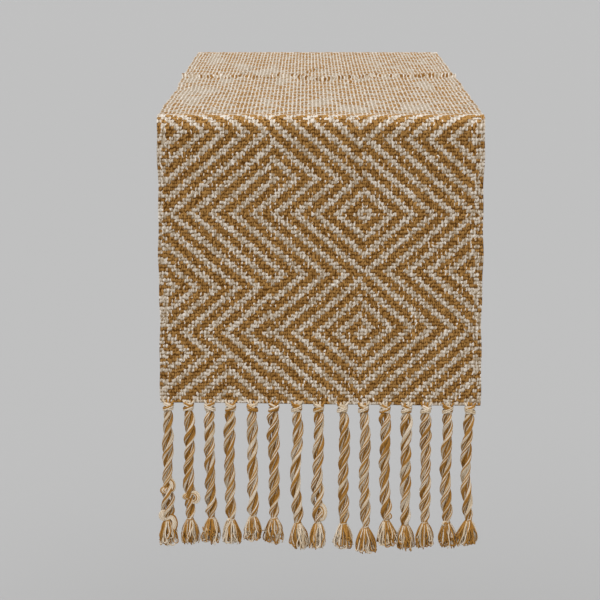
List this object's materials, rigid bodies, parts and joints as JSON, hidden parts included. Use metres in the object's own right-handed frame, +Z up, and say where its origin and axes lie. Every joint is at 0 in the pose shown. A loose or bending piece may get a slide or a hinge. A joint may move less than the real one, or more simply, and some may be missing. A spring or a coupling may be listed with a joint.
{
  "type": "table runner",
  "caption": "Long woven cloth with a diamond twill pattern in cream and gold, draped over a table, with twisted tassels along both ends.",
  "frame": {"origin": "centre of the cloth's underside, where it rests on the table", "axes": "+Z up, X across the cloth from selvedge to selvedge, Y along its length, the front end at -Y"},
  "size_m": [0.356, 0.92, 0.493],
  "materials": {
    "woven_cloth": "matte woven cotton",
    "tassel_yarn": "matte woven cotton"
  },
  "bodies": {
    "cloth_top": {"cloth_top": "woven_cloth"},
    "front_drop": {"front_drop": "woven_cloth"},
    "back_drop": {"back_drop": "woven_cloth"},
    "front_tassel_01": {"front_tassel_01": "tassel_yarn"},
    "front_tassel_02": {"front_tassel_02": "tassel_yarn"},
    "front_tassel_03": {"front_tassel_03": "tassel_yarn"},
    "front_tassel_04": {"front_tassel_04": "tassel_yarn"},
    "front_tassel_05": {"front_tassel_05": "tassel_yarn"},
    "front_tassel_06": {"front_tassel_06": "tassel_yarn"},
    "front_tassel_07": {"front_tassel_07": "tassel_yarn"},
    "front_tassel_08": {"front_tassel_08": "tassel_yarn"},
    "front_tassel_09": {"front_tassel_09": "tassel_yarn"},
    "front_tassel_10": {"front_tassel_10": "tassel_yarn"},
    "front_tassel_11": {"front_tassel_11": "tassel_yarn"},
    "front_tassel_12": {"front_tassel_12": "tassel_yarn"},
    "front_tassel_13": {"front_tassel_13": "tassel_yarn"},
    "front_tassel_14": {"front_tassel_14": "tassel_yarn"},
    "front_tassel_15": {"front_tassel_15": "tassel_yarn"},
    "back_tassel_01": {"back_tassel_01": "tassel_yarn"},
    "back_tassel_02": {"back_tassel_02": "tassel_yarn"},
    "back_tassel_03": {"back_tassel_03": "tassel_yarn"},
    "back_tassel_04": {"back_tassel_04": "tassel_yarn"},
    "back_tassel_05": {"back_tassel_05": "tassel_yarn"},
    "back_tassel_06": {"back_tassel_06": "tassel_yarn"},
    "back_tassel_07": {"back_tassel_07": "tassel_yarn"},
    "back_tassel_08": {"back_tassel_08": "tassel_yarn"},
    "back_tassel_09": {"back_tassel_09": "tassel_yarn"},
    "back_tassel_10": {"back_tassel_10": "tassel_yarn"},
    "back_tassel_11": {"back_tassel_11": "tassel_yarn"},
    "back_tassel_12": {"back_tassel_12": "tassel_yarn"},
    "back_tassel_13": {"back_tassel_13": "tassel_yarn"},
    "back_tassel_14": {"back_tassel_14": "tassel_yarn"},
    "back_tassel_15": {"back_tassel_15": "tassel_yarn"}
  },
  "joints": [
    {"name": "front_drop_lift", "type": "hinge", "parent": "cloth_top", "child": "front_drop", "pos_m": [0, -0.45, 0], "axis": [-1, 0, 0], "range_deg": [0, 90]},
    {"name": "back_drop_lift", "type": "hinge", "parent": "cloth_top", "child": "back_drop", "pos_m": [0, 0.45, 0], "axis": [1, 0, 0], "range_deg": [0, 90]},
    {"name": "front_tassel_01_swing", "type": "hinge", "parent": "front_drop", "child": "front_tassel_01", "pos_m": [-0.1695, -0.4515, -0.3195], "axis": [-1, 0, 0], "range_deg": [-90, 90]},
    {"name": "front_tassel_02_swing", "type": "hinge", "parent": "front_drop", "child": "front_tassel_02", "pos_m": [-0.147, -0.4515, -0.3195], "axis": [-1, 0, 0], "range_deg": [-90, 90]},
    {"name": "front_tassel_03_swing", "type": "hinge", "parent": "front_drop", "child": "front_tassel_03", "pos_m": [-0.1233, -0.4515, -0.3195], "axis": [-1, 0, 0], "range_deg": [-90, 90]},
    {"name": "front_tassel_04_swing", "type": "hinge", "parent": "front_drop", "child": "front_tassel_04", "pos_m": [-0.1, -0.4515, -0.3195], "axis": [-1, 0, 0], "range_deg": [-90, 90]},
    {"name": "front_tassel_05_swing", "type": "hinge", "parent": "front_drop", "child": "front_tassel_05", "pos_m": [-0.0758, -0.4515, -0.3195], "axis": [-1, 0, 0], "range_deg": [-90, 90]},
    {"name": "front_tassel_06_swing", "type": "hinge", "parent": "front_drop", "child": "front_tassel_06", "pos_m": [-0.052, -0.4515, -0.3195], "axis": [-1, 0, 0], "range_deg": [-90, 90]},
    {"name": "front_tassel_07_swing", "type": "hinge", "parent": "front_drop", "child": "front_tassel_07", "pos_m": [-0.0264, -0.4515, -0.3195], "axis": [-1, 0, 0], "range_deg": [-90, 90]},
    {"name": "front_tassel_08_swing", "type": "hinge", "parent": "front_drop", "child": "front_tassel_08", "pos_m": [-0.002, -0.4515, -0.3195], "axis": [-1, 0, 0], "range_deg": [-90, 90]},
    {"name": "front_tassel_09_swing", "type": "hinge", "parent": "front_drop", "child": "front_tassel_09", "pos_m": [0.0245, -0.4515, -0.3195], "axis": [-1, 0, 0], "range_deg": [-90, 90]},
    {"name": "front_tassel_10_swing", "type": "hinge", "parent": "front_drop", "child": "front_tassel_10", "pos_m": [0.048, -0.4515, -0.3195], "axis": [-1, 0, 0], "range_deg": [-90, 90]},
    {"name": "front_tassel_11_swing", "type": "hinge", "parent": "front_drop", "child": "front_tassel_11", "pos_m": [0.072, -0.4515, -0.3195], "axis": [-1, 0, 0], "range_deg": [-90, 90]},
    {"name": "front_tassel_12_swing", "type": "hinge", "parent": "front_drop", "child": "front_tassel_12", "pos_m": [0.096, -0.4515, -0.3195], "axis": [-1, 0, 0], "range_deg": [-90, 90]},
    {"name": "front_tassel_13_swing", "type": "hinge", "parent": "front_drop", "child": "front_tassel_13", "pos_m": [0.1175, -0.4515, -0.3195], "axis": [-1, 0, 0], "range_deg": [-90, 90]},
    {"name": "front_tassel_14_swing", "type": "hinge", "parent": "front_drop", "child": "front_tassel_14", "pos_m": [0.1418, -0.4515, -0.3195], "axis": [-1, 0, 0], "range_deg": [-90, 90]},
    {"name": "front_tassel_15_swing", "type": "hinge", "parent": "front_drop", "child": "front_tassel_15", "pos_m": [0.1666, -0.4515, -0.3195], "axis": [-1, 0, 0], "range_deg": [-90, 90]},
    {"name": "back_tassel_01_swing", "type": "hinge", "parent": "back_drop", "child": "back_tassel_01", "pos_m": [-0.1666, 0.4515, -0.3195], "axis": [1, 0, 0], "range_deg": [-90, 90]},
    {"name": "back_tassel_02_swing", "type": "hinge", "parent": "back_drop", "child": "back_tassel_02", "pos_m": [-0.1418, 0.4515, -0.3195], "axis": [1, 0, 0], "range_deg": [-90, 90]},
    {"name": "back_tassel_03_swing", "type": "hinge", "parent": "back_drop", "child": "back_tassel_03", "pos_m": [-0.1175, 0.4515, -0.3195], "axis": [1, 0, 0], "range_deg": [-90, 90]},
    {"name": "back_tassel_04_swing", "type": "hinge", "parent": "back_drop", "child": "back_tassel_04", "pos_m": [-0.096, 0.4515, -0.3195], "axis": [1, 0, 0], "range_deg": [-90, 90]},
    {"name": "back_tassel_05_swing", "type": "hinge", "parent": "back_drop", "child": "back_tassel_05", "pos_m": [-0.072, 0.4515, -0.3195], "axis": [1, 0, 0], "range_deg": [-90, 90]},
    {"name": "back_tassel_06_swing", "type": "hinge", "parent": "back_drop", "child": "back_tassel_06", "pos_m": [-0.048, 0.4515, -0.3195], "axis": [1, 0, 0], "range_deg": [-90, 90]},
    {"name": "back_tassel_07_swing", "type": "hinge", "parent": "back_drop", "child": "back_tassel_07", "pos_m": [-0.0245, 0.4515, -0.3195], "axis": [1, 0, 0], "range_deg": [-90, 90]},
    {"name": "back_tassel_08_swing", "type": "hinge", "parent": "back_drop", "child": "back_tassel_08", "pos_m": [0.002, 0.4515, -0.3195], "axis": [1, 0, 0], "range_deg": [-90, 90]},
    {"name": "back_tassel_09_swing", "type": "hinge", "parent": "back_drop", "child": "back_tassel_09", "pos_m": [0.0264, 0.4515, -0.3195], "axis": [1, 0, 0], "range_deg": [-90, 90]},
    {"name": "back_tassel_10_swing", "type": "hinge", "parent": "back_drop", "child": "back_tassel_10", "pos_m": [0.052, 0.4515, -0.3195], "axis": [1, 0, 0], "range_deg": [-90, 90]},
    {"name": "back_tassel_11_swing", "type": "hinge", "parent": "back_drop", "child": "back_tassel_11", "pos_m": [0.0758, 0.4515, -0.3195], "axis": [1, 0, 0], "range_deg": [-90, 90]},
    {"name": "back_tassel_12_swing", "type": "hinge", "parent": "back_drop", "child": "back_tassel_12", "pos_m": [0.1, 0.4515, -0.3195], "axis": [1, 0, 0], "range_deg": [-90, 90]},
    {"name": "back_tassel_13_swing", "type": "hinge", "parent": "back_drop", "child": "back_tassel_13", "pos_m": [0.1233, 0.4515, -0.3195], "axis": [1, 0, 0], "range_deg": [-90, 90]},
    {"name": "back_tassel_14_swing", "type": "hinge", "parent": "back_drop", "child": "back_tassel_14", "pos_m": [0.147, 0.4515, -0.3195], "axis": [1, 0, 0], "range_deg": [-90, 90]},
    {"name": "back_tassel_15_swing", "type": "hinge", "parent": "back_drop", "child": "back_tassel_15", "pos_m": [0.1695, 0.4515, -0.3195], "axis": [1, 0, 0], "range_deg": [-90, 90]}
  ]
}
